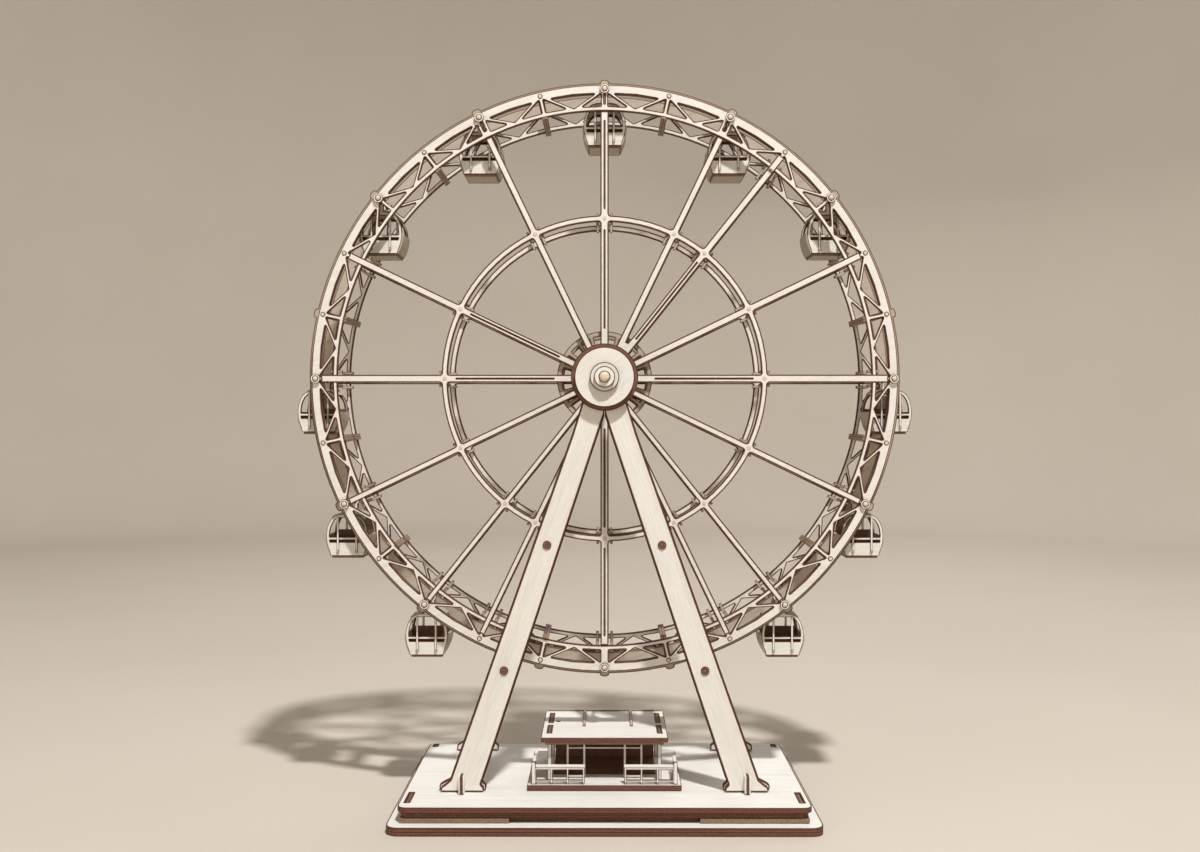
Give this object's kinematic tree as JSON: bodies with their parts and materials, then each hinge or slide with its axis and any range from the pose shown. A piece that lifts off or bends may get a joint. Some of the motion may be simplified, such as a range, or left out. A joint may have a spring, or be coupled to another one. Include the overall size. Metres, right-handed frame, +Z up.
{
  "type": "wooden model ferris wheel",
  "caption": "Laser-cut plywood model of a ferris wheel on a layered base with a boarding station; the wheel turns on its axle and the cabins hang level from pins between two trussed rims.",
  "frame": {"origin": "middle of the base's underside, where the model rests on a table", "axes": "+Z up, +X to the right seen from the boarding side, -Y to the front; the wheel turns about Y"},
  "size_m": [0.3602, 0.15, 0.4188],
  "materials": {
    "pale_birch": "unfinished pale birch plywood faces with burnt cut edges",
    "warm_birch": "warmer birch plywood, partly shaded or scorched",
    "dark_birch": "plywood seen mostly by its burnt edges",
    "dowel": "smooth turned dowel, light tan"
  },
  "bodies": {
    "stand": {"base_bottom_plate": "pale_birch", "base_spacer_left": "pale_birch", "base_spacer_middle": "dark_birch", "base_spacer_right": "pale_birch", "base_under_plate": "warm_birch", "base_top_plate": "pale_birch", "front_leg_left": "pale_birch", "front_leg_right": "pale_birch", "back_leg_left": "pale_birch", "back_leg_right": "pale_birch", "front_hub_disc": "pale_birch", "back_hub_disc": "pale_birch", "axle": "dowel", "station_platform": "pale_birch", "station_front_frame": "pale_birch", "station_back_wall": "dark_birch", "station_roof_frame": "warm_birch", "station_roof": "pale_birch", "station_railing_left": "pale_birch", "station_railing_right": "pale_birch"},
    "wheel": {"wheel_hub": "warm_birch", "front_rim": "pale_birch", "back_rim": "pale_birch", "front_rim_band": "pale_birch", "back_rim_band": "pale_birch", "front_spokes": "pale_birch", "back_spokes": "pale_birch", "rim_tie_01": "warm_birch", "rim_tie_02": "warm_birch", "rim_tie_03": "warm_birch", "rim_tie_04": "warm_birch", "rim_tie_05": "warm_birch", "rim_tie_06": "warm_birch", "rim_tie_07": "warm_birch", "rim_tie_08": "warm_birch", "rim_tie_09": "warm_birch", "rim_tie_10": "warm_birch", "rim_tie_11": "warm_birch", "rim_tie_12": "warm_birch", "bottom_pivot_rod": "dowel"},
    "cabin_01": {"cabin_01": "pale_birch"},
    "cabin_02": {"cabin_02": "pale_birch"},
    "cabin_03": {"cabin_03": "pale_birch"},
    "cabin_04": {"cabin_04": "pale_birch"},
    "cabin_05": {"cabin_05": "pale_birch"},
    "cabin_06": {"cabin_06": "pale_birch"},
    "cabin_07": {"cabin_07": "pale_birch"},
    "cabin_08": {"cabin_08": "pale_birch"},
    "cabin_09": {"cabin_09": "pale_birch"},
    "cabin_10": {"cabin_10": "pale_birch"},
    "cabin_11": {"cabin_11": "pale_birch"}
  },
  "joints": [
    {"name": "wheel_spin", "type": "hinge", "parent": "stand", "child": "wheel", "pos_m": [0, 0.0076, 0.2456], "axis": [0, 1, 0], "continuous": true},
    {"name": "cabin_01_swing", "type": "hinge", "parent": "wheel", "child": "cabin_01", "pos_m": [0, 0.0076, 0.4127], "axis": [0, 1, 0], "continuous": true},
    {"name": "cabin_02_swing", "type": "hinge", "parent": "wheel", "child": "cabin_02", "pos_m": [0.0725, 0.0076, 0.39615], "axis": [0, 1, 0], "continuous": true},
    {"name": "cabin_03_swing", "type": "hinge", "parent": "wheel", "child": "cabin_03", "pos_m": [0.13064, 0.0076, 0.34979], "axis": [0, 1, 0], "continuous": true},
    {"name": "cabin_04_swing", "type": "hinge", "parent": "wheel", "child": "cabin_04", "pos_m": [0.1671, 0.0076, 0.2456], "axis": [0, 1, 0], "continuous": true},
    {"name": "cabin_05_swing", "type": "hinge", "parent": "wheel", "child": "cabin_05", "pos_m": [0.15055, 0.0076, 0.1731], "axis": [0, 1, 0], "continuous": true},
    {"name": "cabin_06_swing", "type": "hinge", "parent": "wheel", "child": "cabin_06", "pos_m": [0.10418, 0.0076, 0.11496], "axis": [0, 1, 0], "continuous": true},
    {"name": "cabin_07_swing", "type": "hinge", "parent": "wheel", "child": "cabin_07", "pos_m": [-0.10418, 0.0076, 0.11496], "axis": [0, 1, 0], "continuous": true},
    {"name": "cabin_08_swing", "type": "hinge", "parent": "wheel", "child": "cabin_08", "pos_m": [-0.15055, 0.0076, 0.1731], "axis": [0, 1, 0], "continuous": true},
    {"name": "cabin_09_swing", "type": "hinge", "parent": "wheel", "child": "cabin_09", "pos_m": [-0.1671, 0.0076, 0.2456], "axis": [0, 1, 0], "continuous": true},
    {"name": "cabin_10_swing", "type": "hinge", "parent": "wheel", "child": "cabin_10", "pos_m": [-0.13064, 0.0076, 0.34979], "axis": [0, 1, 0], "continuous": true},
    {"name": "cabin_11_swing", "type": "hinge", "parent": "wheel", "child": "cabin_11", "pos_m": [-0.0725, 0.0076, 0.39615], "axis": [0, 1, 0], "continuous": true}
  ],
  "couplings": [
    {"joint": "cabin_01_swing", "follows": "wheel_spin", "ratio": -1},
    {"joint": "cabin_02_swing", "follows": "wheel_spin", "ratio": -1},
    {"joint": "cabin_03_swing", "follows": "wheel_spin", "ratio": -1},
    {"joint": "cabin_04_swing", "follows": "wheel_spin", "ratio": -1},
    {"joint": "cabin_05_swing", "follows": "wheel_spin", "ratio": -1},
    {"joint": "cabin_06_swing", "follows": "wheel_spin", "ratio": -1},
    {"joint": "cabin_07_swing", "follows": "wheel_spin", "ratio": -1},
    {"joint": "cabin_08_swing", "follows": "wheel_spin", "ratio": -1},
    {"joint": "cabin_09_swing", "follows": "wheel_spin", "ratio": -1},
    {"joint": "cabin_10_swing", "follows": "wheel_spin", "ratio": -1},
    {"joint": "cabin_11_swing", "follows": "wheel_spin", "ratio": -1}
  ]
}
